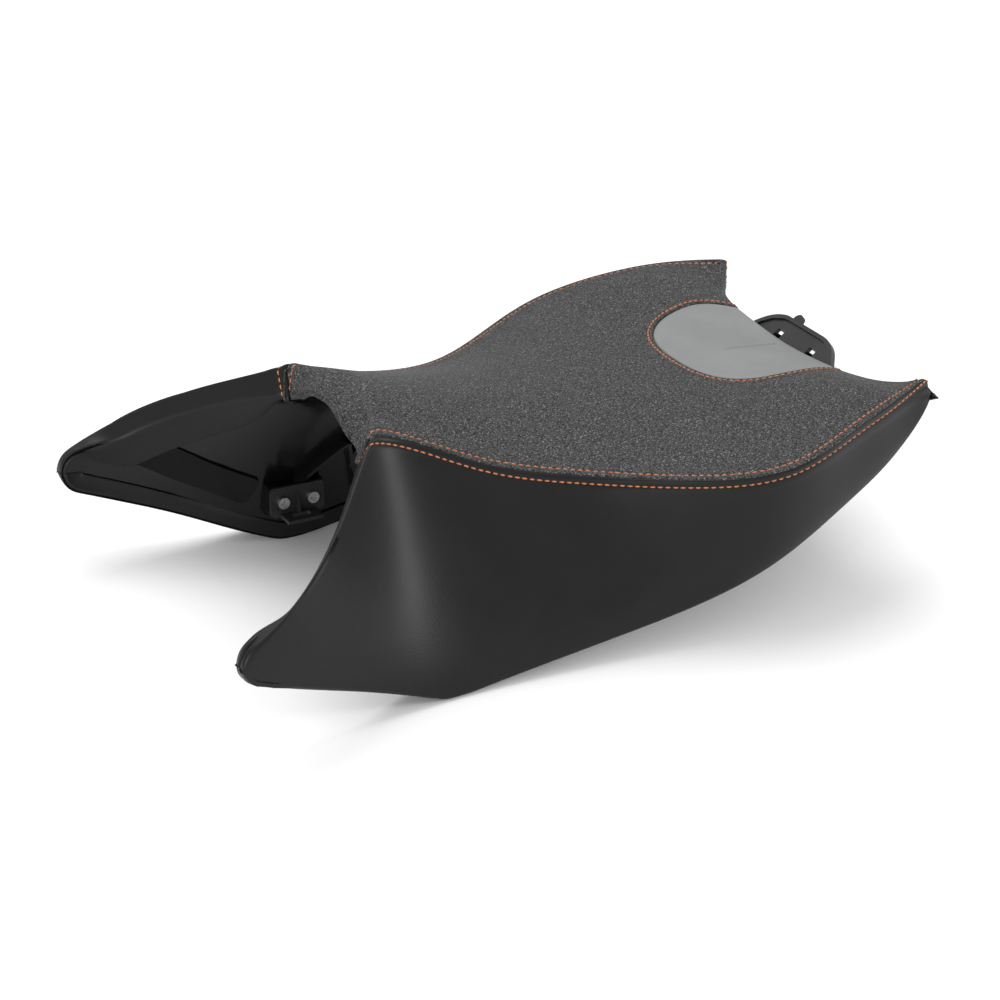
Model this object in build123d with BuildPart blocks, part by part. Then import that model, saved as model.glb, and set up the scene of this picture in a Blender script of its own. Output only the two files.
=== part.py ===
from build123d import *
import math
import os

# ---------------------------------------------------------------------------
# Motorcycle rider seat.  Millimetres.  +X is forward, +Y is left, +Z is up.
# Stations are counted rearward from the tips of the two front wings, and
# station_x() turns a station into a place along X.
# ---------------------------------------------------------------------------

mid_station = 250.5          # station that lies over the origin
cover_thickness = 1.5        # seat vinyl with its fleece backing
pan_thickness = 3.0          # moulded pan wall
tape_thickness = 0.8         # backing tape under the long seams
hem_thickness = 1.2          # cover edge folded onto the inside of the pan
hem_width = 14.0             # how far the folded edge reaches inward
rib_height = 8.0             # depth of the ribs under the pan
rib_width = 2.4              # thickness of each rib

# Outline seen from the side: station and height of its corners
tip_corner = (-26.8, 63.4)   # where rim line and wing bottom would meet
wing_low_corner = (138.0, -0.2)
rim_slope = 0.60             # rise of the front rim per millimetre rearward
tip_radius = 16.0            # rounding of the wing tips
heel_radius = 30.0           # rounding under the wings
rear_lower_edge = [
    (156, 0.6), (191, 5), (257, 14.5), (343, 34.5), (387, 53.5),
    (439, 81), (481, 107), (511, 134.5), (530, 153.5),
]

# Rear edge seen from above: station and half width, left half
rear_edge = [(476, 0), (476, 40), (476, 62), (478, 78), (482.5, 92),
             (490, 105), (498, 117), (505.5, 129), (513, 141), (523, 158)]

# Cross sections of the outer surface, left half.  Each row holds the station,
# then (y, z) of crown, two crown handles, seam, two side handles, lower edge.
# Handles shape the curve between the points.
outer_rows = [
    (-20, 186, 70, 110, 182, 158, 166, 160, 63),
    (30, 182, 64, 99, 173, 141.5, 167, 156, 40),
    (80, 177, 47, 73, 169, 104, 164.5, 148, 19.5),
    (128, 169, 30, 46, 160, 66, 154.5, 145, 4.5),
    (190, 150, 37, 58, 137.5, 82.5, 130, 144, 2),
    (250, 138, 47, 74, 125, 105.5, 117, 145, 10.5),
    (310, 133, 64, 99, 122, 142, 115.5, 148, 21.5),
    (370, 132.5, 70, 122, 131, 170, 121.5, 150.5, 39.5),
    (430, 130.5, 45, 95, 150, 159, 135, 146, 70),
    (460, 127.5, 45, 95, 147, 148, 139.5, 141.5, 86),
    (480, 126, 45, 95, 134, 138.5, 141.5, 137, 99.5),
    (530, 118, 40, 78, 132, 112, 142, 127, 132),
]

# Cross sections of the underside of the pan, left half: station, then the
# crown height and (y, z) of four points from the arch down the inner wall.
pan_rows = [
    (-20, 176, 70, 166, 118, 120, 136, 66, 142),
    (30, 172, 66, 157, 112, 118, 130, 84, 138),
    (80, 162, 48, 149, 84, 124, 116, 80, 134),
    (128, 151, 34, 144, 62, 124, 98, 70, 126),
    (190, 119, 40, 114, 66, 97, 100, 55, 122),
    (250, 99, 55, 96, 88, 80, 114, 45, 126),
    (310, 89, 66, 87, 112, 76, 126, 48, 131),
    (370, 89, 70, 89, 120, 82, 132, 62, 136),
    (430, 100, 66, 101, 112, 102, 127, 88, 132),
    (460, 108, 60, 109, 106, 112, 123, 100, 128),
    (480, 112, 58, 114, 102, 118, 120, 108, 126),
    (530, 120, 50, 122, 92, 126, 110, 116, 116),
]
wall_foot = -40.0            # the pan walls are drawn down to this height

# Rear insert outline from above: station and half width
insert_outline = [(384, 0), (385, 18), (388, 32), (394, 45), (403, 55.5), (414, 62.5),
                  (427, 66.5), (442, 68.5), (457, 67), (478, 63), (500, 60)]

# Rear tongue
tongue_angle = 39.0          # tilt of the visible plate
tongue_wall = 3.2
tongue_rim = 1.6             # raised edge round the visible plate
tongue_foot = 3.5            # thickness of the flat foot
tongue_plate_top = 98.0      # height of the flat foot under the pan
tongue_foot_front = 426.0
tongue_riser_station = 480.6
tongue_web_top = 124.0
tongue_hole_station = 480.8  # centre of the two square holes
tongue_hole_height = 124.4
tongue_hole_spread = 40.0
tongue_hole_size = 8.0
tongue_screw_station = 446.0
tongue_screw_spread = 60.0
screw_radius = 3.0
screw_head_radius = 5.5
screw_head_height = 3.6

# Rubber bumpers: station and half spread
bumper_places = {"front": (205, 34), "middle": (300, 70), "rear": (400, 78)}
bumper_radius = 10.0
bumper_length = 14.0
plug_radius = 5.0
plug_length = 8.0

# Felt strips on the inner wing walls
strip_station = 78.0
strip_height = 62.0
strip_length = 84.0
strip_width = 22.0
strip_thickness = 1.8
strip_tilt = -26.0

tape_half_width = 11.0       # backing tape either side of a long seam
boss_radius = 9.0
insert_radius = 4.2          # brass thread inserts for the tongue screws
insert_length = 7.0

# Front hooks on the inner walls of the wings
hook_station = 142.0
hook_height = 40.0
hook_plate_y = 96.0
hook_length = 40.0
hook_width = 22.0
hook_wall = 2.5
hook_reach = 14.0
hook_screw_spread = 22.0
hook_screw_radius = 2.4
hook_screw_length = 9.0

# Stiffening gussets on the wing walls: (station, height) to (station, height)
gusset_lines = [((124, 26), (172, 84)), ((172, 84), (196, 24)),
                ((212, 30), (300, 40)), ((300, 40), (380, 68))]


def station_x(station):
    return mid_station - station


def mitre_inset(points, depth, symmetric=True):
    """Move a chain of points to the right of its travel by a depth."""
    if symmetric:
        before = (-points[1][0], points[1][1])
    else:
        before = (2 * points[0][0] - points[1][0], 2 * points[0][1] - points[1][1])
    after = (2 * points[-1][0] - points[-2][0], 2 * points[-1][1] - points[-2][1])
    chain = [before] + list(points) + [after]
    moved = []
    for back, here, ahead in zip(chain, chain[1:], chain[2:]):
        first = math.atan2(here[1] - back[1], here[0] - back[0])
        turn = math.atan2(ahead[1] - here[1], ahead[0] - here[0]) - first
        turn = (turn + math.pi) % (2 * math.pi) - math.pi
        middle = first + turn / 2
        reach = depth / max(0.4, math.cos(turn / 2))
        moved.append((here[0] + reach * math.sin(middle), here[1] - reach * math.cos(middle)))
    return moved


def outer_chain(row):
    """Control points of one outer section, crown to below the lower edge."""
    station, crown, first_y, second_y, second_z, seam_y, seam_z, low_y, low_z = row
    fall_y, fall_z = low_y - seam_y, low_z - seam_z
    return [
        (0, crown),
        (first_y, crown),
        (second_y, second_z),
        (seam_y, seam_z),
        (seam_y + 0.33 * fall_y + 1, seam_z + 0.33 * fall_z),
        (seam_y + 0.80 * fall_y + 11, seam_z + 0.80 * fall_z),
        (low_y, low_z),
        (low_y - 8, low_z - 34),
    ]


def pan_chain(row):
    station, crown, ay, az, by, bz, cy, cz, foot_y = row
    return [(0, crown), (ay, az), (by, bz), (cy, cz), (foot_y, wall_foot)]


def mirrored(points):
    return [(-y, z) for y, z in points]


def outer_solid(depth):
    """Everything inside the outer surface moved inward by a depth."""
    with BuildPart() as body:
        for row in outer_rows:
            right = mitre_inset(outer_chain(row), depth)
            left = mirrored(right)
            with BuildSketch(Plane.YZ.offset(station_x(row[0]))):
                with BuildLine():
                    Bezier(*right[0:4])
                    Bezier(*right[3:7])
                    Polyline(right[6], right[7], left[7], left[6])
                    Bezier(*left[6:2:-1])
                    Bezier(*left[3::-1])
                make_face()
        loft()
    return body.part


def pan_solid(depth):
    """Everything under the pan's lower surface moved inward by a depth."""
    with BuildPart() as body:
        for row in pan_rows:
            right = mitre_inset(pan_chain(row), depth)
            left = mirrored(right)
            with BuildSketch(Plane.YZ.offset(station_x(row[0]))):
                with BuildLine():
                    Spline(*(left[:0:-1] + right))
                    Line(right[-1], left[-1])
                make_face()
        loft()
    return body.part


def trim_solid(depth):
    """The block that trims the seat from the side and at its rear edge."""
    top = 240.0
    rim_top = (tip_corner[0] + (top - tip_corner[1]) / rim_slope, top)
    side = [rim_top, tip_corner, wing_low_corner] + rear_lower_edge
    side = mitre_inset([(station_x(s), z) for s, z in side], depth, symmetric=False)
    half = [(station_x(s), y) for s, y in rear_edge]
    right = mitre_inset([(x, -y) for x, y in half][::-1] + half[1:], depth, symmetric=False)
    with BuildPart() as block:
        with BuildSketch(Plane.XZ):
            with BuildLine():
                Polyline(side[3], side[2], side[1], side[0],
                         (side[-1][0], top), side[-1])
                Spline(*side[3:])
            make_face()
            fillet(vertices().sort_by_distance(side[1])[0], tip_radius - depth)
            fillet(vertices().sort_by_distance(side[2])[0], heel_radius - depth)
        extrude(amount=240, both=True)
        with BuildSketch(Plane.XY.offset(-60)):
            with BuildLine():
                Spline(*right)
                Polyline(right[-1], (right[-1][0], 260), (station_x(-70), 260),
                         (station_x(-70), -260), (right[0][0], -260), right[0])
            make_face()
        extrude(amount=340, mode=Mode.INTERSECT)
    return block.part


def seam_zone(rise, sink, spread=0.0):
    """The block that holds everything between the two long seams."""
    with BuildPart() as block:
        for row in outer_rows:
            chain = outer_chain(row)
            inward = mitre_inset(chain, 1.0)[3]
            out_y, out_z = chain[3][0] - inward[0], chain[3][1] - inward[1]
            seam_y, seam_z = chain[3][0] + spread * out_z, chain[3][1] - spread * out_y
            right = [(seam_y - sink * out_y, seam_z - sink * out_z),
                     (seam_y + rise * out_y, seam_z + rise * out_z),
                     (seam_y + rise * out_y, row[1] + 60)]
            with BuildSketch(Plane.YZ.offset(station_x(row[0]))):
                with BuildLine():
                    Polyline(*(right + mirrored(right)[::-1]), close=True)
                make_face()
        loft(ruled=True)
    return block.part


def column(shape, x, y, bottom, height=90.0):
    """A prism standing at one place: shape is a radius or a (length, width)."""
    with BuildPart() as body:
        with BuildSketch(Plane.XY.offset(bottom)):
            with Locations((x, y)):
                if isinstance(shape, tuple):
                    Rectangle(*shape)
                else:
                    Circle(shape)
        extrude(amount=height)
    return body.part


def pan_height(x, y):
    """Height of the pan's underside over one place."""
    hits = pan_low.find_intersection_points(Axis((x, y, -200), (0, 0, 1)))
    return max(point.Z for point, normal in hits)


outer = outer_solid(0)
inner = outer_solid(cover_thickness)
tape_low = outer_solid(cover_thickness + tape_thickness)
pan_top = pan_solid(-pan_thickness)
pan_low = pan_solid(0)
hem_low = pan_solid(hem_thickness)
rib_low = pan_solid(rib_height)
trim = trim_solid(0)
trim_cover = trim_solid(cover_thickness)
trim_flange = trim_solid(cover_thickness + pan_thickness)
trim_hem = trim_solid(hem_width)
zone = seam_zone(16, 40)

# --- Cover: skin over the foam, band round the rim, edge folded inside ------
with BuildPart() as skin:
    add(outer)
    add(inner, mode=Mode.SUBTRACT)
    add(trim, mode=Mode.INTERSECT)
with BuildPart() as band:
    add(outer)
    add(pan_low, mode=Mode.SUBTRACT)
    add(trim, mode=Mode.INTERSECT)
    add(trim_cover, mode=Mode.SUBTRACT)
with BuildPart() as hem:
    add(pan_low)
    add(hem_low, mode=Mode.SUBTRACT)
    add(trim, mode=Mode.INTERSECT)
    add(trim_hem, mode=Mode.SUBTRACT)
with BuildPart() as cover:
    add(skin.part)
    add(band.part)
    add(hem.part)

with BuildPart() as cover_left:
    add(cover.part)
    add(zone, mode=Mode.SUBTRACT)
    split(bisect_by=Plane.XZ, keep=Keep.BOTTOM)
with BuildPart() as cover_right:
    add(cover.part)
    add(zone, mode=Mode.SUBTRACT)
    split(bisect_by=Plane.XZ, keep=Keep.TOP)
insert_left = [(station_x(s), y) for s, y in insert_outline]
insert_right = [(x, -y) for x, y in insert_left[:0:-1]]
with BuildPart() as insert_block:
    with BuildSketch(Plane.XY.offset(60)):
        with BuildLine():
            Spline(*(insert_right + insert_left))
            Line(insert_left[-1], insert_right[0])
        make_face()
    extrude(amount=120)
with BuildPart() as cover_insert:
    add(cover.part)
    add(zone, mode=Mode.INTERSECT)
    add(insert_block.part, mode=Mode.INTERSECT)
with BuildPart() as cover_top:
    add(cover.part)
    add(zone, mode=Mode.INTERSECT)
    add(insert_block.part, mode=Mode.SUBTRACT)

# --- Backing tape under the two long seams ----------------------------------
tape_zone = seam_zone(10, 10, tape_half_width)
between_tapes = seam_zone(16, 40, -tape_half_width)
with BuildPart() as tapes:
    add(inner)
    add(tape_low, mode=Mode.SUBTRACT)
    add(trim_flange, mode=Mode.INTERSECT)
    add(tape_zone, mode=Mode.INTERSECT)
    add(between_tapes, mode=Mode.SUBTRACT)

# --- Foam between the cover and the pan -------------------------------------
with BuildPart() as foam:
    add(inner)
    add(pan_top, mode=Mode.SUBTRACT)
    add(trim_flange, mode=Mode.INTERSECT)
    add(tapes.part, mode=Mode.SUBTRACT)

# --- Pan: saddle shell, edge flange, ribs and bosses ------------------------
bumper_sites = []
for end, (station, spread) in bumper_places.items():
    for side_name, sign in (("left", 1), ("right", -1)):
        x, y = station_x(station), sign * spread
        seat_height = pan_height(x, y) - rib_height - 2
        bumper_sites.append((f"bumper_{end}_{side_name}", x, y, seat_height))
screw_x = station_x(tongue_screw_station)
screw_sites = [(screw_x, tongue_screw_spread / 2), (screw_x, -tongue_screw_spread / 2)]

bumper_columns = []
bumper_clearances = []
plug_holes = []
for label, x, y, seat_height in bumper_sites:
    bumper_columns.append(column(bumper_radius, x, y, seat_height))
    bumper_clearances.append(column(bumper_radius + 1, x, y, seat_height - 40, 40))
    plug_holes.append(column(plug_radius, x, y, seat_height, plug_length))
screw_columns = []
insert_holes = []
for x, y in screw_sites:
    screw_columns.append(column(boss_radius, x, y, tongue_plate_top))
    insert_holes.append(column(insert_radius, x, y, tongue_plate_top - 12, insert_length + 12))

with BuildPart() as rib_grid:
    rib_stations = [180, 230, 280, 328, 372, 420, 462]
    with BuildSketch(Plane.XY.offset(40)):
        for station in rib_stations:
            with Locations((station_x(station), 0)):
                Rectangle(rib_width, 176)
        for y in (-64, -32, 0, 32, 64):
            with Locations((station_x((rib_stations[0] + rib_stations[-1]) / 2), y)):
                Rectangle(rib_stations[-1] - rib_stations[0], rib_width)
    extrude(amount=120)
    with BuildSketch(Plane.XZ):
        for low, high in gusset_lines:
            with BuildLine():
                start = Vector(station_x(low[0]), low[1])
                end_point = Vector(station_x(high[0]), high[1])
                across = (end_point - start).normalized().rotate(Axis.Z, 90) * (rib_width / 2)
                Polyline(start + across, end_point + across, end_point - across,
                         start - across, close=True)
            make_face()
    extrude(amount=180, both=True)
with BuildPart() as ribs:
    add(rib_grid.part)
    add(pan_low, mode=Mode.INTERSECT)
    add(rib_low, mode=Mode.SUBTRACT)
    add(trim_hem, mode=Mode.INTERSECT)
    with BuildSketch(Plane.XY.offset(tongue_plate_top)):
        with Locations((station_x((tongue_foot_front + tongue_riser_station) / 2), 0)):
            Rectangle(tongue_riser_station - tongue_foot_front + 12, 100)
    extrude(amount=-40, mode=Mode.SUBTRACT)
    with BuildSketch(Plane.XZ):
        with Locations((station_x(hook_station), hook_height)):
            Rectangle(hook_length + 4, hook_width + 4)
    extrude(amount=hook_plate_y, both=True, mode=Mode.SUBTRACT)
    add(bumper_clearances, mode=Mode.SUBTRACT)

with BuildPart() as bosses:
    add(bumper_columns)
    add(screw_columns)
    add(pan_top, mode=Mode.INTERSECT)
    add(trim_hem, mode=Mode.INTERSECT)
    add(plug_holes, mode=Mode.SUBTRACT)
    add(insert_holes, mode=Mode.SUBTRACT)

with BuildPart() as hook_pads:
    for sign in (1, -1):
        face_plane = Plane((station_x(hook_station), sign * hook_plate_y, hook_height),
                           x_dir=(1, 0, 0), z_dir=(0, sign, 0))
        with BuildSketch(face_plane):
            Rectangle(hook_length, hook_width)
            Rectangle(hook_length - 2 * pan_thickness, hook_width - 2 * pan_thickness,
                      mode=Mode.SUBTRACT)
            with GridLocations(hook_screw_spread, 1, 2, 1):
                Circle(6.5)
        extrude(amount=40)
        with BuildSketch(face_plane):
            with GridLocations(hook_screw_spread, 1, 2, 1):
                Circle(hook_screw_radius)
        extrude(amount=hook_screw_length - hook_wall, mode=Mode.SUBTRACT)
    add(pan_top, mode=Mode.INTERSECT)

with BuildPart() as pan:
    add(pan_top)
    add(pan_low, mode=Mode.SUBTRACT)
    add(trim_cover, mode=Mode.INTERSECT)
with BuildPart() as flange:
    add(inner)
    add(pan_low, mode=Mode.SUBTRACT)
    add(trim_cover, mode=Mode.INTERSECT)
    add(trim_flange, mode=Mode.SUBTRACT)
with BuildPart() as base_pan:
    add(pan.part)
    add(flange.part)
    add(ribs.part)
    add(plug_holes, mode=Mode.SUBTRACT)
    add(insert_holes, mode=Mode.SUBTRACT)
    add(bosses.part)
    add(hook_pads.part)

# --- Rear tongue: flat foot, three webs and a tilted D-shaped plate ---------
tilt = math.radians(tongue_angle)
along = Vector(-math.cos(tilt), 0, math.sin(tilt))
face_up = Vector(math.sin(tilt), 0, math.cos(tilt))
tongue_centre = (station_x(tongue_hole_station), 0, tongue_hole_height)
tilted = Plane(tongue_centre, x_dir=along, z_dir=face_up)
riser_x = station_x(tongue_riser_station)

tongue_left = [(-5.0, 50), (4, 45), (11, 37), (15.5, 26), (16, 20)]
tongue_right = [(s, -y) for s, y in tongue_left[::-1]]

with BuildPart() as tongue:
    with BuildSketch(tilted):
        with BuildLine():
            Spline(*tongue_left, tangents=[(1, -0.15), (0, -1)])
            Line(tongue_left[-1], tongue_right[0])
            Spline(*tongue_right, tangents=[(0, -1), (-1, -0.15)])
            Line((-5.0, -50), (-5.0, 50))
        make_face()
        with Locations((17, 15)):
            Circle(4.5)
    extrude(amount=-tongue_wall)
    with BuildSketch(tilted):
        with BuildLine():
            Spline(*tongue_left, tangents=[(1, -0.15), (0, -1)])
            Line(tongue_left[-1], tongue_right[0])
            Spline(*tongue_right, tangents=[(0, -1), (-1, -0.15)])
            Polyline((-5.0, -50), (-5.0, -46.5), (2, -42.5), (8.5, -35), (12.6, -25), (13, -20),
                     (13, 20), (12.6, 25), (8.5, 35), (2, 42.5), (-5.0, 46.5), (-5.0, 50))
        make_face()
    extrude(amount=tongue_rim)
    with BuildSketch(tilted):
        with Locations((-3.2, 0)):
            Rectangle(1.2, tongue_hole_spread - tongue_hole_size - 2)
    extrude(amount=0.8)
    with BuildSketch(Plane.XY.offset(tongue_plate_top - tongue_foot)):
        with Locations((station_x((tongue_foot_front + tongue_riser_station) / 2), 0)):
            Rectangle(tongue_riser_station - tongue_foot_front, 92)
        fillet(vertices().group_by(Axis.X)[-1], 14)
    extrude(amount=tongue_foot)
    with BuildSketch(Plane.YZ.offset(riser_x)):
        for centre, width in ((0, 26), (36, 20), (-36, 20)):
            with Locations((centre, (tongue_plate_top - tongue_foot + tongue_web_top) / 2)):
                Rectangle(width, tongue_web_top - tongue_plate_top + tongue_foot)
    extrude(amount=-tongue_wall)
    with BuildSketch(tilted):
        with Locations((0.6, tongue_hole_spread / 2), (0.6, -tongue_hole_spread / 2)):
            Rectangle(tongue_hole_size, tongue_hole_size)
    extrude(amount=8, both=True, mode=Mode.SUBTRACT)
    with BuildSketch(Plane.XY.offset(tongue_plate_top)):
        with Locations(*screw_sites):
            Circle(screw_radius)
    extrude(amount=-tongue_foot, mode=Mode.SUBTRACT)

with BuildPart() as tongue_screws:
    with BuildSketch(Plane.XY.offset(tongue_plate_top - tongue_foot)):
        with Locations(*screw_sites):
            Circle(screw_head_radius)
    extrude(amount=-screw_head_height)
    fillet(edges().filter_by(GeomType.CIRCLE).group_by(Axis.Z)[0], 1.2)
    with BuildSketch(Plane.XY.offset(tongue_plate_top - tongue_foot)):
        with Locations(*screw_sites):
            Circle(screw_radius)
    extrude(amount=tongue_foot + insert_length - 0.5)
    with BuildSketch(Plane.XY.offset(tongue_plate_top - tongue_foot - screw_head_height)):
        with Locations(*screw_sites):
            RegularPolygon(2.6, 6)
    extrude(amount=2.4, mode=Mode.SUBTRACT)

with BuildPart() as tongue_inserts:
    with BuildSketch(Plane.XY.offset(tongue_plate_top)):
        with Locations(*screw_sites):
            Circle(insert_radius)
            Circle(screw_radius, mode=Mode.SUBTRACT)
    extrude(amount=insert_length)

# --- Rubber bumpers, each a flat foot with a plug pressed into its boss -----
bumpers = {}
for label, x, y, seat_height in bumper_sites:
    with BuildPart() as bumper:
        with BuildSketch(Plane.XY.offset(seat_height)):
            with Locations((x, y)):
                Circle(bumper_radius)
        extrude(amount=-bumper_length)
        chamfer(bumper.edges().filter_by(GeomType.CIRCLE).group_by(Axis.Z)[0], 1.5)
        with BuildSketch(Plane.XY.offset(seat_height)):
            with Locations((x, y)):
                Circle(plug_radius)
        extrude(amount=plug_length)
    bumpers[label] = bumper.part

# --- Front hooks and their screws -------------------------------------------
hooks = {}
hook_screws = {}
for side_name, sign in (("left", 1), ("right", -1)):
    wall_plane = Plane((station_x(hook_station), sign * hook_plate_y, hook_height),
                       x_dir=(1, 0, 0), z_dir=(0, -sign, 0))
    foot_plane = Plane((station_x(hook_station), sign * hook_plate_y, hook_height - hook_width / 2),
                       x_dir=(1, 0, 0), z_dir=(0, 0, 1))
    plate_face = sign * (hook_plate_y - hook_wall)
    web_end = sign * (hook_plate_y - hook_reach * 0.4)
    shelf_top = hook_height - hook_width / 2 + hook_wall
    with BuildPart() as hook:
        with BuildSketch(wall_plane):
            RectangleRounded(hook_length, hook_width, 4)
            with GridLocations(hook_screw_spread, 1, 2, 1):
                Circle(hook_screw_radius, mode=Mode.SUBTRACT)
        extrude(amount=hook_wall)
        with BuildSketch(foot_plane):
            with Locations((0, -sign * (hook_reach + hook_wall) / 2)):
                Rectangle(26, hook_reach + hook_wall)
            with Locations((0, -sign * hook_reach * 0.62)):
                SlotOverall(14, 5.5, mode=Mode.SUBTRACT)
        extrude(amount=hook_wall)
        with BuildSketch(Plane.YZ.offset(station_x(hook_station) - 1.2)):
            with BuildLine():
                Polyline((plate_face, hook_height + 7), (plate_face, shelf_top), (web_end, shelf_top),
                         close=True)
            make_face()
        extrude(amount=2.4)
    hooks[side_name] = hook.part
    with BuildPart() as pair:
        head_plane = wall_plane.offset(hook_wall)
        with BuildSketch(head_plane):
            with GridLocations(hook_screw_spread, 1, 2, 1):
                Circle(4.2)
        extrude(amount=2.6)
        with BuildSketch(head_plane):
            with GridLocations(hook_screw_spread, 1, 2, 1):
                Circle(hook_screw_radius)
        extrude(amount=-hook_screw_length)
        with BuildSketch(head_plane.offset(2.6)):
            with GridLocations(hook_screw_spread, 1, 2, 1):
                Rectangle(4.6, 1.2)
                Rectangle(1.2, 4.6)
        extrude(amount=-1.6, mode=Mode.SUBTRACT)
    hook_screws[side_name] = pair.part

# --- Felt strips on the inside of the wings ---------------------------------
strip_low = pan_solid(strip_thickness)
with BuildPart() as wing_strips:
    add(pan_low)
    add(strip_low, mode=Mode.SUBTRACT)
    with BuildSketch(Plane.XZ):
        with Locations(Location((station_x(strip_station), strip_height), -strip_tilt)):
            RectangleRounded(strip_length, strip_width, 5)
    extrude(amount=180, both=True, mode=Mode.INTERSECT)


def largest(part):
    return part.solids().sort_by(SortBy.VOLUME)[-1]


pieces = {
    "base_pan": largest(base_pan.part),
    "foam_core": largest(foam.part),
    "cover_top_panel": largest(cover_top.part),
    "cover_side_left": largest(cover_left.part),
    "cover_side_right": largest(cover_right.part),
    "cover_rear_insert": largest(cover_insert.part),
    "rear_tongue": tongue.part,
    "tongue_screws": tongue_screws.part,
    "tongue_inserts": tongue_inserts.part,
    "front_hook_left": hooks["left"],
    "front_hook_right": hooks["right"],
    "hook_screws_left": hook_screws["left"],
    "hook_screws_right": hook_screws["right"],
    "seam_tape_left": tapes.part.solids().sort_by(Axis.Y)[-1],
    "seam_tape_right": tapes.part.solids().sort_by(Axis.Y)[0],
    "wing_strip_left": wing_strips.part.solids().sort_by(Axis.Y)[-1],
    "wing_strip_right": wing_strips.part.solids().sort_by(Axis.Y)[0],
}
pieces.update(bumpers)

os.makedirs("parts", exist_ok=True)
for label, piece in pieces.items():
    piece.label = label
    export_step(piece, f"parts/{label}.step")
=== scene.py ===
import math

import bmesh
import bpy
import numpy as np
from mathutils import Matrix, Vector
from mathutils.bvhtree import BVHTree


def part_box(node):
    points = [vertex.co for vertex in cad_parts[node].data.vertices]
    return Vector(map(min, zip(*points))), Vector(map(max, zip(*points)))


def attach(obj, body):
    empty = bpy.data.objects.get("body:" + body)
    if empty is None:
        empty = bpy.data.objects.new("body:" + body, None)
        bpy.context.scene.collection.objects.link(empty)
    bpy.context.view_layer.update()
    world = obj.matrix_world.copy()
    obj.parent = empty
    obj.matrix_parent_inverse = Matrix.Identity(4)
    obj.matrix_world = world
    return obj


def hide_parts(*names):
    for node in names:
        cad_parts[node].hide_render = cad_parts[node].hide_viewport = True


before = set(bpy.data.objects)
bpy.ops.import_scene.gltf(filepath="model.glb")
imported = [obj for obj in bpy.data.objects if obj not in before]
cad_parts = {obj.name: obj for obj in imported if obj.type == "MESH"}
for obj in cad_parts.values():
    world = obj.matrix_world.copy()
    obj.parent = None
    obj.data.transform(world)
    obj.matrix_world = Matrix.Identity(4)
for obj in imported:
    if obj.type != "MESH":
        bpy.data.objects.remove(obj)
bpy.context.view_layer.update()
rng = np.random.default_rng(7)

# ---------------------------------------------------------------------------
# The seat's surface, in millimetres: u runs rearward from the wing tips,
# y to the rider's left and z up.  The numbers are those of the CAD part.
# ---------------------------------------------------------------------------
# station, crown z, crown handle y, seam handle y and z, seam y and z, lower edge y and z
ROWS = np.array([
    (-20, 186, 70, 110, 182, 158, 166, 160, 63),
    (30, 182, 64, 99, 173, 141.5, 167, 156, 40),
    (80, 177, 47, 73, 169, 104, 164.5, 148, 19.5),
    (128, 169, 30, 46, 160, 66, 154.5, 145, 4.5),
    (190, 150, 37, 58, 137.5, 82.5, 130, 144, 2),
    (250, 138, 47, 74, 125, 105.5, 117, 145, 10.5),
    (310, 133, 64, 99, 122, 142, 115.5, 148, 21.5),
    (370, 132.5, 70, 122, 131, 170, 121.5, 150.5, 39.5),
    (430, 130.5, 45, 95, 150, 159, 135, 146, 70),
    (460, 127.5, 45, 95, 147, 148, 139.5, 141.5, 86),
    (480, 126, 45, 95, 134, 138.5, 141.5, 137, 99.5),
    (530, 118, 40, 78, 132, 112, 142, 127, 132),
], float)
REAR_LOWER = np.array([(156, 0.6), (191, 5), (257, 14.5), (343, 34.5), (387, 53.5),
                       (439, 81), (481, 107), (511, 134.5), (530, 153.5)], float)
REAR_PLAN = np.array([(476, 0), (476, 40), (476, 62), (478, 78), (482.5, 92),
                      (490, 105), (498, 117), (505.5, 129), (513, 141), (523, 158)], float)
INSERT = np.array([(384, 0), (385, 18), (388, 32), (394, 45), (403, 55.5), (414, 62.5),
                   (427, 66.5), (442, 68.5), (457, 67), (478, 63), (500, 60)], float)
TIP = np.array([-26.8, 63.4])
LOW_CORNER = np.array([138.0, -0.2])
RIM_SLOPE = 0.60
TIP_RADIUS = 16.0
HEEL_RADIUS = 30.0
COVER_THICK = 0.0011         # metres
LIP_THICK = 0.0006           # metres
HEM_OFF = 1.35               # hem surface over the pan
HEM_DEPTH = 14.0             # depth of the last of HEM_ROWS
HEM_SPREAD = 4.0             # most that a hem may leave its straight path
PROBE_DEPTH = 3.2            # how far inside the edge the wall is looked for
PROBE_REACH = 62.0           # how far across the edge that ray starts
EDGE_WALL = 10.0             # pan wall at the wings' edges, slimmer than the CAD pan's
EDGE_FADE = 62.0             # depth over which it leads back to the CAD pan's wall
LEAN = 0.85                  # slope of the wings' folded edge into the pan
REAR_ROUND = 4.5             # radius of the cover's rear edge

SEAM_OFFS = np.array([0, .3, .6, .9, 1.3, 1.9, 2.6, 3.4, 4.2, 4.9, 5.5, 6.1, 6.8, 7.8, 9.2, 11, 13.5])
ROUND = np.array([0, .1, .4, .9, 1.6, 2.5, 3.6, 4.9, 6.4, 8.1, 10])
STITCH_ROW = 5.5
STITCH_PITCH = 4.8


def ease(x):
    """Smooth step from 0 to 1."""
    x = np.clip(x, 0, 1)
    return x * x * (3 - 2 * x)


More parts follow.
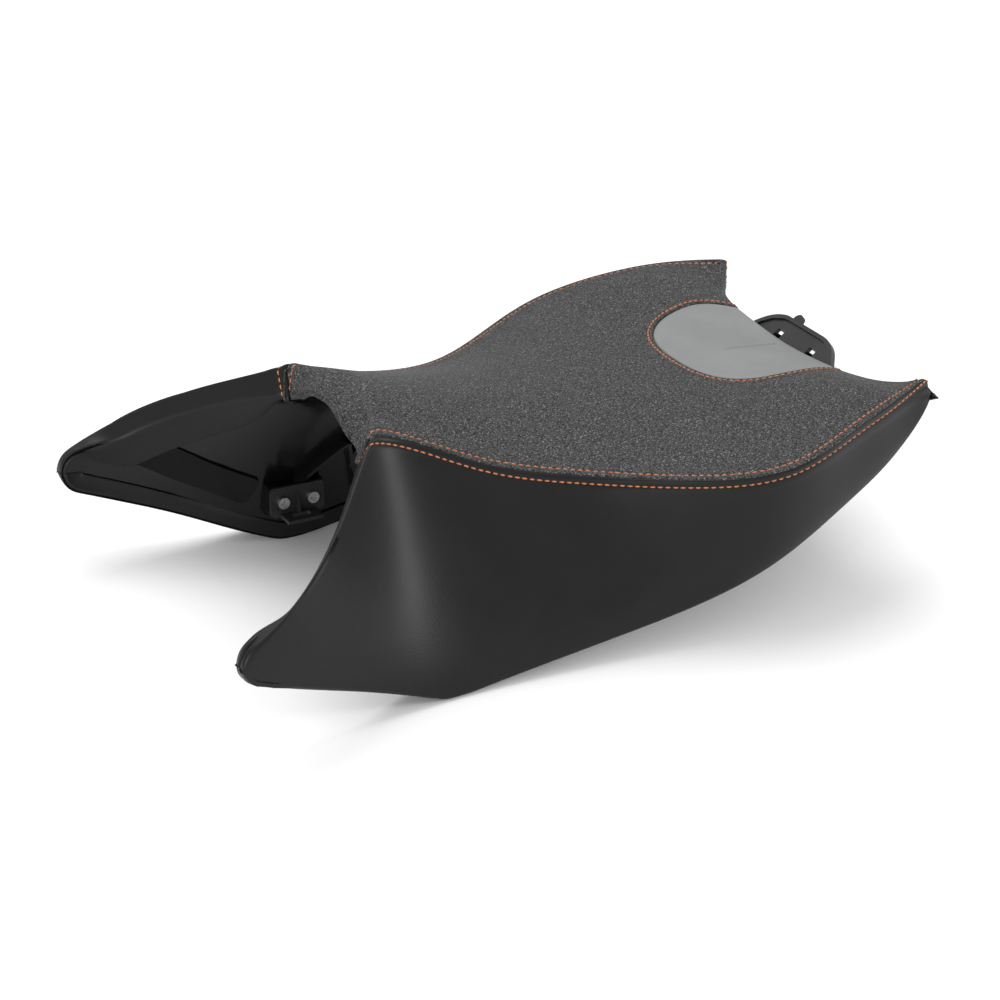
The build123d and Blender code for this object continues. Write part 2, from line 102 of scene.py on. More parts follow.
def spline(xs, ys):
    """Natural cubic spline through rows of values, as a function of x."""
    xs = np.asarray(xs, float)
    ys = np.asarray(ys, float).reshape(len(xs), -1)
    n, h = len(xs), np.diff(xs)
    a, r = np.eye(n), np.zeros_like(ys)
    for i in range(1, n - 1):
        a[i, i - 1:i + 2] = h[i - 1], 2 * (h[i - 1] + h[i]), h[i]
        r[i] = 6 * ((ys[i + 1] - ys[i]) / h[i] - (ys[i] - ys[i - 1]) / h[i - 1])
    m = np.linalg.solve(a, r)

    def value(q):
        q = np.asarray(q, float)
        i = np.clip(np.searchsorted(xs, q) - 1, 0, n - 2)
        s, t, w = (xs[i + 1] - q)[..., None], (q - xs[i])[..., None], h[i][..., None]
        return ((m[i] * s ** 3 + m[i + 1] * t ** 3) / (6 * w)
                + (ys[i] / w - m[i] * w / 6) * s + (ys[i + 1] / w - m[i + 1] * w / 6) * t)
    return value


# --- Side profile: rim line, tip arc, wing bottom, heel arc, rear lower edge --
rim_dir = np.array([1, RIM_SLOPE]) / math.hypot(1, RIM_SLOPE)
low_dir = (LOW_CORNER - TIP) / np.linalg.norm(LOW_CORNER - TIP)
half_angle = math.acos(rim_dir @ low_dir) / 2
bisector = (rim_dir + low_dir) / np.linalg.norm(rim_dir + low_dir)
ARC = TIP + bisector * TIP_RADIUS / math.sin(half_angle)
reach = TIP_RADIUS / math.tan(half_angle)
RIM_T = TIP + rim_dir * reach
LOW_T = TIP + low_dir * reach
U_TIP = ARC[0] - TIP_RADIUS
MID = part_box("cover_side_left")[1].x * 1000 + U_TIP
rear_low = spline(REAR_LOWER[:, 0], REAR_LOWER[:, 1])
plan_half = spline(REAR_PLAN[:, 1], REAR_PLAN[:, 0])


def fine_profile():
    u = np.linspace(LOW_T[0], 530, 1400)
    z = np.where(u < LOW_CORNER[0], LOW_CORNER[1] + (u - LOW_CORNER[0]) * low_dir[1] / low_dir[0],
                 np.where(u < 156, LOW_CORNER[1] + (u - LOW_CORNER[0]) * 0.8 / 18, rear_low(u)[:, 0]))
    turn = abs(math.atan2(0.8, 18) - math.atan2(low_dir[1], low_dir[0]))
    cut = HEEL_RADIUS * math.tan(turn / 2)
    a = LOW_CORNER[0] - cut * low_dir[0]
    b = LOW_CORNER[0] + cut
    near = (u > a) & (u < b)
    t = (u[near] - a) / (b - a)
    za = LOW_CORNER[1] - cut * low_dir[1]
    zb = LOW_CORNER[1] + cut * 0.8 / 18
    z[near] = (1 - t) ** 2 * za + 2 * t * (1 - t) * LOW_CORNER[1] + t * t * zb
    return u, z


LOW_U, LOW_Z = fine_profile()


def z_low(u):
    u = np.asarray(u, float)
    arc = ARC[1] - np.sqrt(np.maximum(TIP_RADIUS ** 2 - (u - ARC[0]) ** 2, 0))
    return np.where(u < LOW_T[0], arc, np.interp(u, LOW_U, LOW_Z))


def z_up(u):
    u = np.asarray(u, float)
    arc = ARC[1] + np.sqrt(np.maximum(TIP_RADIUS ** 2 - (u - ARC[0]) ** 2, 0))
    return np.where(u < RIM_T[0], arc, TIP[1] + (u - TIP[0]) * RIM_SLOPE)


def u_rear(y):
    return plan_half(np.abs(y))[..., 0]


# --- Tables of the two halves of each section, by distance from the seam -----
DU, DS, NPHI = 0.5, 0.5, 401
US = np.arange(-20, 530.1, DU)
c = spline(ROWS[:, 0], ROWS[:, 1:])(US)
crown, c1y, c2y, c2z, sy, sz, ly, lz = c.T
zero = np.zeros_like(crown)
fy, fz = ly - sy, lz - sz
P = [(zero, crown), (c1y, crown), (c2y, c2z), (sy, sz), (sy + .33 * fy + 1, sz + .33 * fz),
     (sy + .8 * fy + 11, sz + .8 * fz), (ly, lz), (ly - 8, lz - 34)]
P = np.array(P).transpose(2, 0, 1)


def bezier(a, b, cc, d, t):
    a, b, cc, d = (v[:, None, :] for v in (a, b, cc, d))
    t = t[None, :, None]
    return (1 - t) ** 3 * a + 3 * (1 - t) ** 2 * t * b + 3 * (1 - t) * t * t * cc + t ** 3 * d


def lengths(curve):
    step = np.linalg.norm(np.diff(curve, axis=1), axis=2)
    return np.concatenate([np.zeros((len(curve), 1)), np.cumsum(step, 1)], 1)


tt = np.linspace(0, 1, 201)
top_curve = bezier(P[:, 3], P[:, 2], P[:, 1], P[:, 0], tt)
drop = P[:, 6][:, None] + (P[:, 7] - P[:, 6])[:, None] * np.linspace(.02, 1.4, 60)[None, :, None]
side_curve = np.concatenate([bezier(P[:, 3], P[:, 4], P[:, 5], P[:, 6], tt), drop], 1)
top_len, side_len = lengths(top_curve), lengths(side_curve)
S_TOP = top_len[:, -1]
phi = np.linspace(0, 1, NPHI)
ss = np.arange(0, 290, DS)
TOP = np.array([[np.interp(phi * L[-1], L, q[:, i]) for i in (0, 1)] for L, q in zip(top_len, top_curve)])
SIDE = np.array([[np.interp(ss, L, q[:, i]) for i in (0, 1)] for L, q in zip(side_len, side_curve)])
TOP, SIDE = TOP.transpose(0, 2, 1), SIDE.transpose(0, 2, 1)
S_LOW = np.array([np.interp(-z_low(max(u, U_TIP)), -q[:, 1], ss) for u, q in zip(US, SIDE)])


def lookup(table, u, k):
    i = np.clip((u - US[0]) / DU, 0, table.shape[0] - 1.001)
    k = np.clip(k, 0, table.shape[1] - 1.001)
    i0, k0 = i.astype(int), k.astype(int)
    fu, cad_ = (i - i0)[..., None], (k - k0)[..., None]
    return ((1 - fu) * ((1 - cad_) * table[i0, k0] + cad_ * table[i0, k0 + 1])
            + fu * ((1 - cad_) * table[i0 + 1, k0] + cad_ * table[i0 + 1, k0 + 1]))


def s_top(u):
    return np.interp(u, US, S_TOP)


def s_low(u):
    return np.interp(u, US, S_LOW)


def top_point(u, s):
    u, s = np.broadcast_arrays(np.asarray(u, float), np.asarray(s, float))
    q = lookup(TOP, u, s / s_top(u) * (NPHI - 1))
    return np.stack([u, q[..., 0], q[..., 1]], -1)


def side_point(u, s):
    u, s = np.broadcast_arrays(np.asarray(u, float), np.asarray(s, float))
    q = lookup(SIDE, u, s / DS)
    return np.stack([u, q[..., 0], q[..., 1]], -1)


def solve(point, s_of, below, above, test):
    """For each line, the station where test(point) changes from positive to negative."""
    lo, hi = np.full(len(s_of(0.0)), below), np.full(len(s_of(0.0)), above)
    for _ in range(44):
        mid = (lo + hi) / 2
        good = test(point(mid, s_of(mid))) > 0
        lo, hi = np.where(good, mid, lo), np.where(good, hi, mid)
    return (lo + hi) / 2


def columns(first, last, middle):
    """Stations along each line, closer together towards both ends."""
    run = (last - first)[:, None]
    k = ROUND[None, :]
    inner = np.linspace(0, 1, middle + 2)[1:-1][None, :]
    return np.concatenate([first[:, None] + k, first[:, None] + 10 + (run - 20) * inner,
                           last[:, None] - k[:, ::-1]], 1)


# --- Band and folded edge: rays onto the pan find where the wall is ----------
def node_points(name):
    co = np.array([v.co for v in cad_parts[name].data.vertices], float) * 1000
    co[:, 0] = MID - co[:, 0]
    return co


def tree_of(points):
    return BVHTree.FromPolygons([Vector(v) for v in points], pan_faces)


pan_faces = [tuple(p.vertices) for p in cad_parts["base_pan"].data.polygons]
pan_tree = tree_of(node_points("base_pan"))


def cast(origin, direction, far):
    """Where a ray meets the pan, or None."""
    direction = direction / np.linalg.norm(direction)
    hit = pan_tree.ray_cast(Vector(origin), Vector(direction), far)[0]
    return None if hit is None else np.array(hit)


def profile_inward(p):
    """Unit direction into the seat, square to the side profile, at boundary points."""
    out = np.zeros_like(p)
    for i, (u, y, z) in enumerate(p):
        if z >= RIM_T[1] and z > z_low(u) + 1.5:
            d = np.array([rim_dir[1], -rim_dir[0]])
        elif u <= LOW_T[0] or (z < RIM_T[1] and u < RIM_T[0]):
            d = (ARC - np.array([u, z])) / TIP_RADIUS
        else:
            m = float(z_low(u + .5) - z_low(u - .5))
            d = np.array([-m, 1.0])
        out[i, 0], out[i, 2] = d / np.linalg.norm(d)
    return out


HEM_ROWS = np.array([.5, 1.2, 2.2, 3.6, 5.4, 7.6, 10, 12.2, 13.6, 14])


def smooth_rows(a, times):
    for _ in range(times):
        b = a.copy()
        b[1:-1] = (a[:-2] + 2 * a[1:-1] + a[2:]) / 4
        a = b
    return a


def wrap(edge, across, inward, hem=HEM_DEPTH, flat_end=None, tilt=0.0):
    """Rows that carry a boundary over the band and onto the inside of the pan."""
    n = len(edge)
    hem, tilt = np.broadcast_to(hem, n), np.broadcast_to(tilt, n)
    inner = np.zeros_like(edge)
    hits = []
    for i in range(n):
        deep = PROBE_DEPTH + 14 * tilt[i]
        start = edge[i] + PROBE_REACH * across[i] + deep * inward[i]
        hit = cast(start, -across[i], PROBE_REACH + 5)
        hits.append(hit is not None)
        inner[i] = hit - deep * inward[i] if hit is not None else edge[i]
    good = np.where(hits)[0]
    reach_in = np.einsum("ij,ij->i", inner - edge, across)
    reach_in = np.interp(np.arange(n), good, reach_in[good]) if len(good) else np.zeros(n)
    if flat_end is not None:
        reach_in = np.minimum(reach_in, flat_end)
    reach_in = np.maximum(smooth_rows(reach_in[:, None], 6)[:, 0], 0.02)
    reach_in = reach_in + HEM_OFF * np.clip(reach_in / 10, 0, 1)
    lean = across + tilt[:, None] * inward
    inner = edge + reach_in[:, None] * lean
    k = np.minimum(1, reach_in / 18)[:, None]
    near = ROUND[None, 1:8] * k
    span = reach_in[:, None] - 2 * near[:, -1:]
    middle = near[:, -1:] + span * np.linspace(0, 1, 8)[None, 1:-1]
    offs = np.concatenate([near, middle, reach_in[:, None] - near[:, ::-1], reach_in[:, None]], 1)
    band = edge[:, None] + offs[..., None] * lean[:, None]
    rows = []
    for h in HEM_ROWS:
        spots, ways, shift = np.zeros_like(edge), np.zeros_like(edge), np.full(n, np.nan)
        for i in range(n):
            depth = h * hem[i] / HEM_DEPTH
            spot = inner[i] + depth * inward[i] - HEM_OFF * across[i]
            to_void = np.array([0, -spot[1], -38.0] if abs(across[i][2]) < .9 else [0, 0, -1.0])
            to_void = .5 * to_void / np.linalg.norm(to_void) + across[i]
            to_void /= np.linalg.norm(to_void)
            hit = cast(spot + 9 * to_void, -to_void, 16)
            spots[i], ways[i] = spot, to_void
            if hit is not None:
                shift[i] = (hit - spot) @ to_void + HEM_OFF
        known = np.where(~np.isnan(shift))[0]
        shift = np.interp(np.arange(n), known, shift[known]) if len(known) else np.zeros(n)
        shift = np.array([np.median(shift[max(0, i - 7):i + 8]) for i in range(n)])
        shift = smooth_rows(np.clip(shift, -HEM_SPREAD, HEM_SPREAD)[:, None], 9)[:, 0]
        rows.append(spots + shift[:, None] * smooth_rows(ways, 9))
    hem_rows = smooth_rows(np.stack(rows, 1), 4)
    return np.concatenate([band, hem_rows], 1), band.shape[1] - 1


def round_corner(lines, at, radius):
    """Round each polyline where it turns at one index, keeping its direction at both ends."""
    out, radius = lines.copy(), np.broadcast_to(radius, len(lines))
    for j, line in enumerate(lines):
        step = np.linalg.norm(np.diff(line, axis=0), axis=1)
        d = np.concatenate([[0], np.cumsum(step)])
        d = d - d[at]
        r = min(radius[j], .42 * max(d[-1], .02), .42 * -min(d[0], -.02))
        a, a2, b, b2 = (np.array([np.interp(q * r, d, line[:, i]) for i in range(3)])
                        for q in (-1, -1.15, 1, 1.15))
        p1 = a + (a - a2) / .15 * .62
        p2 = b + (b - b2) / .15 * .62
        near = np.abs(d) < r
        t = ((d[near] / r + 1) / 2)[:, None]
        out[j, near] = ((1 - t) ** 3 * a + 3 * (1 - t) ** 2 * t * p1
                        + 3 * (1 - t) * t * t * p2 + t ** 3 * b)
    return out


def seam_shape(s):
    """Height of the cover by its distance from a seam: folded edge, lip and stitch row."""
    s = np.asarray(s, float)
    fold = np.where(s < 1.1, -2.5 * (1 - np.minimum(s, 1.1) / 1.1) ** 2, 0)
    return (fold + .5 * np.exp(-((s - 2.6) / 1.7) ** 2) * (s > .2)
            - .5 * np.exp(-((s - STITCH_ROW) / .75) ** 2) + .35 * np.exp(-((s - 9.3) / 3) ** 2))


def across_rim(edge):
    """In the rim plane, the inward direction square to the boundary."""
    r = edge[:, 0] / rim_dir[0]
    t = np.gradient(np.stack([edge[:, 1], r], 1), axis=0)
    t /= np.linalg.norm(t, axis=1)[:, None]
    n = np.stack([t[:, 1], -t[:, 0]], 1)
    n *= np.where(n[:, 1] > 0, -1, 1)[:, None]
    flip = (np.abs(n[:, 1]) < .05) & (n[:, 0] * edge[:, 1] > 0)
    n[flip] *= -1
    grow = ease((r - RIM_T[0] / rim_dir[0]) / 30)
    n[:, 1] *= grow
    n[:, 0] = np.where(grow < 1, np.sign(-edge[:, 1]) * np.sqrt(1 - n[:, 1] ** 2), n[:, 0])
    n = smooth_rows(n, 10)
    n /= np.linalg.norm(n, axis=1)[:, None]
    return np.stack([n[:, 1] * rim_dir[0], n[:, 0], n[:, 1] * rim_dir[1]], 1)


def top_tests(p):
    """Positive above the side profile."""
    return p[:, 2] - z_up(p[:, 0])


def rear_tests(p):
    """Positive ahead of the rear edge in plan."""
    return u_rear(p[:, 1]) - p[:, 0]


# ---------------------------------------------------------------------------
# Side panel grid: lines follow the seam at fixed distances, then the lower edge
# ---------------------------------------------------------------------------
LOW_END, TOP_END = ROUND[-1], SEAM_OFFS[-1]
mids = np.linspace(0, 1, 40)[1:-1]
side_p = np.concatenate([SEAM_OFFS, TOP_END - mids * (TOP_END + LOW_END), -ROUND[::-1]])
side_q = np.concatenate([0 * SEAM_OFFS, mids, 1 + 0 * ROUND])


def side_s(u):
    low = s_low(u)
    return side_p * np.minimum(1, low / 60) + side_q * low


front_u = solve(side_point, side_s, U_TIP, 135.0, top_tests)
back_u = solve(side_point, side_s, 440.0, 529.0, rear_tests)
su = columns(front_u, back_u, 270)
low = s_low(su)
s_side = side_p[:, None] * np.minimum(1, low / 60) + side_q[:, None] * low
side = side_point(su, s_side)
side[-1, :, 2] = z_low(side[-1, :, 0])

# ---------------------------------------------------------------------------
# Top panel
# ---------------------------------------------------------------------------
fractions = np.linspace(0, 1, 44)[1:]
top_p = np.concatenate([SEAM_OFFS, SEAM_OFFS[-1] * (1 - fractions)])
top_q = np.concatenate([0 * SEAM_OFFS, fractions])


def top_s(u):
    return top_p + top_q * s_top(u)


front_u = solve(top_point, top_s, 60.0, 200.0, top_tests)
back_u = solve(top_point, top_s, 440.0, 529.0, rear_tests)
tu = columns(front_u, back_u, 232)
ts = top_p[:, None] + top_q[:, None] * s_top(tu)
half = top_point(tu, ts)
half[-1, :, 1] = 0
other = half[::-1][1:] * np.array([1, -1, 1])
panel = np.concatenate([half, other], 0)
panel_s = np.concatenate([ts, ts[::-1][1:]], 0)
front_edge, rear_edge = panel[:, 0], panel[:, -1]

# --- The whole front rim is one loop: wing tip, neck, wing tip --------------
mirror = np.array([1, -1, 1])
count_side = len(side)
loop = np.concatenate([side[::-1, 0][:-1], front_edge, side[1:, 0] * mirror])
loop_across = across_rim(loop)
loop_across = (loop_across + loop_across[::-1] * mirror) / 2
loop_in = profile_inward(loop)


def loop_reach():
    """Width of the CAD pan's wall all along the front rim."""
    found = np.full(len(loop), np.nan)
    for i in range(len(loop)):
        start = loop[i] + PROBE_REACH * loop_across[i] + PROBE_DEPTH * loop_in[i]
        hit = cast(start, -loop_across[i], PROBE_REACH + 5)
        if hit is not None:
            found[i] = (hit - loop[i]) @ loop_across[i]
    good = np.where(~np.isnan(found))[0]
    return smooth_rows(np.interp(np.arange(len(loop)), good, found[good])[:, None], 8)[:, 0]


wide_wall = loop_reach()
on_wing = ease((np.abs(loop[:, 1]) - 24) / 42)
edge_wall = EDGE_WALL + 4.5 * (1 - ease((np.abs(loop[:, 1]) - 64) / 45))
slim_wall = wide_wall + (edge_wall - wide_wall) * on_wing
loop_lean = LEAN * on_wing * ease((loop[:, 0] - 4) / 34)
loop_r = loop[:, 0] / rim_dir[0]


def thin_rim(points):
    """Move the pan's wall outward near the front rim, lean it in and sink it under the neck."""
    on_rim = np.maximum(points[:, 0], RIM_T[0])
    depth = (z_up(on_rim) + (points[:, 0] - on_rim) * RIM_SLOPE - points[:, 2]) * rim_dir[0]
    flat = points - depth[:, None] * np.array([rim_dir[1], 0, -rim_dir[0]])
    out = points.copy()
    near = np.where((depth > -5) & (depth < EDGE_FADE) & (points[:, 0] < 230))[0]
    for part in np.array_split(near, max(1, len(near) // 2000)):
        gap2 = ((flat[part, None, 1] - loop[None, :, 1]) ** 2
                + (flat[part, None, 0] / rim_dir[0] - loop_r[None]) ** 2)
        j = gap2.argmin(1)
        a_old = ((flat[part] - loop[j]) * loop_across[j]).sum(1)
        w, t = wide_wall[j], slim_wall[j]
        a_new = np.where(a_old < w, a_old * t / w, a_old - (w - t))
        out[part] -= loop_across[j] * ((a_old - a_new) * (1 - ease(depth[part] / EDGE_FADE)))[:, None]
        shallow = 1 - ease((depth[part] - 6) / 20)
        sunk = loop_lean[j] * np.clip(a_new, 0, 16) * (1 - ease((depth[part] - 4) / 40))
        sunk += 4 * (1 - on_wing[j]) * (1 - ease((a_new - 4) / 14)) * shallow
        sunk += 2.2 * on_wing[j] * (1 - ease((np.abs(loop[j, 1]) - 70) / 30)) * shallow
        out[part] += loop_in[j] * sunk[:, None]
    return out


def outer_half(u, z):
    """Half width of the side panel at a height."""
    i = np.clip(((u - US[0]) / DU).astype(int), 0, len(US) - 1)
    return np.array([np.interp(-zz, -SIDE[r, :, 1], SIDE[r, :, 0]) for r, zz in zip(i, z)])


def thin_low(points):
    """The same for the lower edge near the wing tip."""
    weight = 1 - ease((points[:, 2] - z_low(points[:, 0])) / 45)
    weight = weight * (1 - ease((points[:, 0] - 5) / 105))
    out = points.copy()
    near = np.where((weight > .003) & (np.abs(points[:, 1]) > 60) & (points[:, 0] < 115))[0]
    wide = outer_half(points[near, 0], points[near, 2])
    for i, y_out in zip(near, wide):
        u, y, z = points[i]
        sign = 1 if y > 0 else -1
        hit = cast(np.array([u, sign * (y_out - PROBE_REACH), z]), np.array([0, sign, 0.0]), 66)
        if hit is None:
            continue
        w = y_out - abs(hit[1])
        if w <= EDGE_WALL:
            continue
        a_old = y_out - abs(y)
        a_new = a_old * EDGE_WALL / w if a_old < w else a_old - (w - EDGE_WALL)
        out[i, 1] = sign * (y_out - (a_old + weight[i] * (a_new - a_old)))
    return out


def reshaped(name, new_name, points):
    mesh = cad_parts[name].data.copy()
    world = np.stack([MID - points[:, 0], points[:, 1], points[:, 2]], 1) / 1000
    mesh.vertices.foreach_set("co", world.ravel())
    mesh.update()
    obj = bpy.data.objects.new(new_name, mesh)
    bpy.context.scene.collection.objects.link(obj)
    return obj


strip_names = ["wing_strip_left", "wing_strip_right"]
moved = {n: thin_rim(node_points(n)) for n in ["base_pan"] + strip_names}
pan_tree = tree_of(moved["base_pan"])
moved = {n: thin_low(p) for n, p in moved.items()}
pan_tree = tree_of(moved["base_pan"])
pan_shell = reshaped("base_pan", "pan_shell", moved["base_pan"])
strip_objs = [reshaped(n, n + "_felt", moved[n]) for n in strip_names]

hem_depth = (4.5 + 19 * ease((np.abs(loop[:, 1]) - 70) / 32)) * (.15 + .85 * ease(loop[:, 0] / 24))
loop_rows, front_inner = wrap(loop, loop_across, loop_in, hem=hem_depth, tilt=loop_lean)
loop_rows = (loop_rows + loop_rows[::-1] * mirror) / 2
front_rows = loop_rows[count_side - 1:count_side - 1 + len(front_edge)]
rear_y = np.abs(rear_edge[:, 1])
plan_slope = (u_rear(rear_y + .5) - u_rear(rear_y - .5)) * np.sign(rear_edge[:, 1])
rear_in = np.stack([-np.ones(len(plan_slope)), plan_slope, 0 * plan_slope], 1)
rear_in /= np.linalg.norm(rear_in, axis=1)[:, None]
down = np.tile([0, 0, -1.0], (len(rear_edge), 1))
room = rear_edge[:, 2] - z_low(rear_edge[:, 0])
rear_rows, rear_inner = wrap(rear_edge, down, rear_in, flat_end=np.maximum(room, .02))
top_grid = np.concatenate([front_rows[:, ::-1], panel, rear_rows], 1)
at_front = front_rows.shape[1]
at_rear = at_front + panel.shape[1] - 1
rim_round = 9.5 - 5.0 * ease(np.abs(loop[:, 1]) / 66)
neck = rim_round[count_side - 1:count_side - 1 + len(front_edge)]
top_grid = round_corner(top_grid, at_front - 1 - front_inner, 2.5)
top_grid = round_corner(top_grid, at_front, neck)
top_grid = round_corner(top_grid, at_rear, REAR_ROUND)
top_grid = round_corner(top_grid, at_rear + 1 + rear_inner, 2.0)
top_grid_s = np.concatenate([np.repeat(panel_s[:, :1], at_front, 1), panel_s,
                             np.repeat(panel_s[:, -1:], rear_rows.shape[1], 1)], 1)
top_dev = np.concatenate([np.repeat(tu[:, :1], at_front, 1), tu], 1)
top_dev = np.concatenate([top_dev, top_dev[::-1][1:]], 0)
rear_steps = np.diff(np.concatenate([rear_edge[:, None], rear_rows], 1), axis=1)
rear_run = np.cumsum(np.linalg.norm(rear_steps, axis=2), 1)
top_dev = np.concatenate([top_dev, rear_edge[:, :1] + rear_run], 1)

# --- Insert outline, by length from its front ------------------------------
chain = np.concatenate([INSERT[:0:-1] * [1, -1], INSERT])
param = np.concatenate([[0], np.cumsum(np.linalg.norm(np.diff(chain, axis=0), axis=1))])
outline = spline(param, chain)(np.linspace(0, param[-1], 361))
outline = (outline + outline[::-1] * [1, -1]) / 2


def outline_gap(u, y):
    """Distance outside the insert outline, negative inside."""
    pts = np.stack([u.ravel(), y.ravel()], 1)
    best = np.full(len(pts), 1e9)
    for a, b in zip(outline[:-1], outline[1:]):
        d = b - a
        t = np.clip(((pts - a) @ d) / (d @ d), 0, 1)
        best = np.minimum(best, np.linalg.norm(pts - a - t[:, None] * d, axis=1))
    ahead = np.interp(np.abs(pts[:, 1]), INSERT[:8, 1], INSERT[:8, 0], right=1e9)
    width = spline(INSERT[4:, 0], INSERT[4:, 1])(np.clip(pts[:, 0], 403, 500))[:, 0]
    inside = np.where(pts[:, 0] < 442, pts[:, 0] > ahead, np.abs(pts[:, 1]) < width)
    return np.where(inside, -best, best).reshape(u.shape)


gap = outline_gap(top_dev, top_grid[..., 1])
sink = ease((2.2 - gap) / 3.2)
hem_count = len(HEM_ROWS)
fade = np.ones(top_grid.shape[1])
fade[:hem_count] = np.linspace(0, .5, hem_count) ** 2
fade[-hem_count:] = np.linspace(.5, 0, hem_count) ** 2
top_lift = seam_shape(top_grid_s) * fade - 3.0 * sink


def grid_mesh(name, blocks, lifts, outward):
    """One object from blocks of points; each is lifted along its normal."""
    verts, faces, lift = [], [], []
    base = 0
    for block, rise in zip(blocks, lifts):
        n, m = block.shape[:2]
        verts.append(block.reshape(-1, 3))
        lift.append(np.broadcast_to(rise, (n, m)).ravel())
        i, j = np.meshgrid(np.arange(n - 1), np.arange(m - 1), indexing="ij")
        q = base + i * m + j
        faces.append(np.stack([q, q + m, q + m + 1, q + 1], -1).reshape(-1, 4))
        base += n * m
    verts, faces, lift = np.concatenate(verts), np.concatenate(faces), np.concatenate(lift)
    key = np.round(verts / .02).astype(int)
    _, first, back = np.unique(key, axis=0, return_index=True, return_inverse=True)
    back = back.ravel()
    verts, lift, faces = verts[first], lift[first], back[faces]
    polys = []
    for f in faces:
        g = [int(v) for n_, v in enumerate(f) if v != f[n_ - 1]]
        if len(set(g)) >= 3:
            polys.append(g)
    world = np.stack([MID - verts[:, 0], verts[:, 1], verts[:, 2]], 1) / 1000
    mesh = bpy.data.meshes.new(name)
    mesh.from_pydata(world.tolist(), [], polys)
    mesh.update()
    bm = bmesh.new()
    bm.from_mesh(mesh)
    bmesh.ops.recalc_face_normals(bm, faces=bm.faces)
    bm.to_mesh(mesh)
    bm.free()
    normals = np.zeros(len(mesh.polygons) * 3)
    mesh.polygons.foreach_get("normal", normals)
    areas = np.zeros(len(mesh.polygons))
    mesh.polygons.foreach_get("area", areas)
    facing = ((normals.reshape(-1, 3) @ np.array(outward, float)) * areas).sum()
    if facing < 0:
        mesh.flip_normals()
    vn = np.zeros(len(mesh.vertices) * 3)
    mesh.vertex_normals.foreach_get("vector", vn)
    world = world + vn.reshape(-1, 3) * lift[:, None] / 1000
    mesh.vertices.foreach_set("co", world.ravel())
    mesh.update()
    obj = bpy.data.objects.new(name, mesh)
    bpy.context.scene.collection.objects.link(obj)
    for p in mesh.polygons:
        p.use_smooth = True
    return obj, back


def thicken(obj, thick):
    """Give the sheet its real thickness, inward."""
    mod = obj.modifiers.new("thickness", "SOLIDIFY")
    mod.thickness = thick
    mod.offset = -1
    mod.use_even_offset = False
    bpy.context.view_layer.objects.active = obj
    depsgraph = bpy.context.evaluated_depsgraph_get()
    mesh = bpy.data.meshes.new_from_object(obj.evaluated_get(depsgraph))
    obj.modifiers.clear()
    obj.data = mesh
    for p in mesh.polygons:
        p.use_smooth = True


def grid_points(obj, back, start, shape):
    """Final places and normals of a block's points, in metres."""
    n = shape[0] * shape[1]
    idx = back[start:start + n]
    co = np.zeros(len(obj.data.vertices) * 3)
    obj.data.vertices.foreach_get("co", co)
    vn = np.zeros(len(obj.data.vertices) * 3)
    obj.data.vertex_normals.foreach_get("vector", vn)
    return co.reshape(-1, 3)[idx].reshape(*shape, 3), vn.reshape(-1, 3)[idx].reshape(*shape, 3)


cover_top, back = grid_mesh("cover_top", [top_grid], [top_lift], (0, 0, 1))
top_co, top_n = grid_points(cover_top, back, 0, top_grid.shape[:2])
stitch_paths = []
row_at = int(np.argmin(np.abs(SEAM_OFFS - STITCH_ROW)))
stop = at_rear + 1 + rear_inner + 3
begin = at_front - 1 - front_inner - 3
for line in (row_at, len(top_co) - 1 - row_at):
    stitch_paths.append((top_co[line, begin:stop], top_n[line, begin:stop]))

# ---------------------------------------------------------------------------
# Side panels
# ---------------------------------------------------------------------------
side_front = loop_rows[:count_side][::-1]
edge = side[-1]
inward_low = profile_inward(edge)
across_low = np.tile([0, -1.0, 0], (len(edge), 1))
pan_top = np.interp(edge[:, 0], [430, 470, 488], [100, 112, 119])
short = np.clip((pan_top - z_low(edge[:, 0]) - 3) / HEM_DEPTH, .15, 1)
hem_low = np.where(edge[:, 0] > 430, HEM_DEPTH * short, HEM_DEPTH)
y_plan = np.interp(edge[:, 0], REAR_PLAN[3:, 0], REAR_PLAN[3:, 1], left=0)
limit = np.where(edge[:, 0] > 484, np.maximum(edge[:, 1] - y_plan, .02), 99.0)
side_low, side_low_in = wrap(edge, across_low, inward_low, hem=hem_low, flat_end=limit)
edge = side[:, -1]
rear_drop = np.maximum(edge[:, 2] - z_low(edge[:, 0]), .02)
offs = rear_drop[:, None] * np.linspace(0, 1, 14)[None, 1:] ** 1.2
side_rear = edge[:, None] + offs[..., None] * np.array([0, 0, -1.0])

wide = np.concatenate([side_front[:, ::-1], side, side_rear], 1)
f0 = side_front.shape[1]
r0 = f0 + side.shape[1] - 1
wide = round_corner(wide, f0 - 1 - front_inner, 2.5)
wide = round_corner(wide, f0, rim_round[:count_side][::-1])
wide = round_corner(wide, r0, 3.0)
side = wide[:, f0:r0 + 1]
tall = np.concatenate([side.transpose(1, 0, 2), side_low], 1)
b0 = side.shape[0] - 1
tall = round_corner(tall, b0, 4.5)
tall = round_corner(tall, b0 + 1 + side_low_in, 2.5)
wide[:, f0:r0 + 1] = tall[:, :b0 + 1].transpose(1, 0, 2)
wide_s = np.concatenate([np.repeat(s_side[:, :1], f0, 1), s_side,
                         np.repeat(s_side[:, -1:], side_rear.shape[1], 1)], 1)
side_fade = np.ones(wide.shape[1])
side_fade[:hem_count] = np.linspace(0, .5, hem_count) ** 2
wide_lift = seam_shape(wide_s) * side_fade
begin, stop = f0 - 1 - front_inner - 3, r0 + 10
side_objs = {}
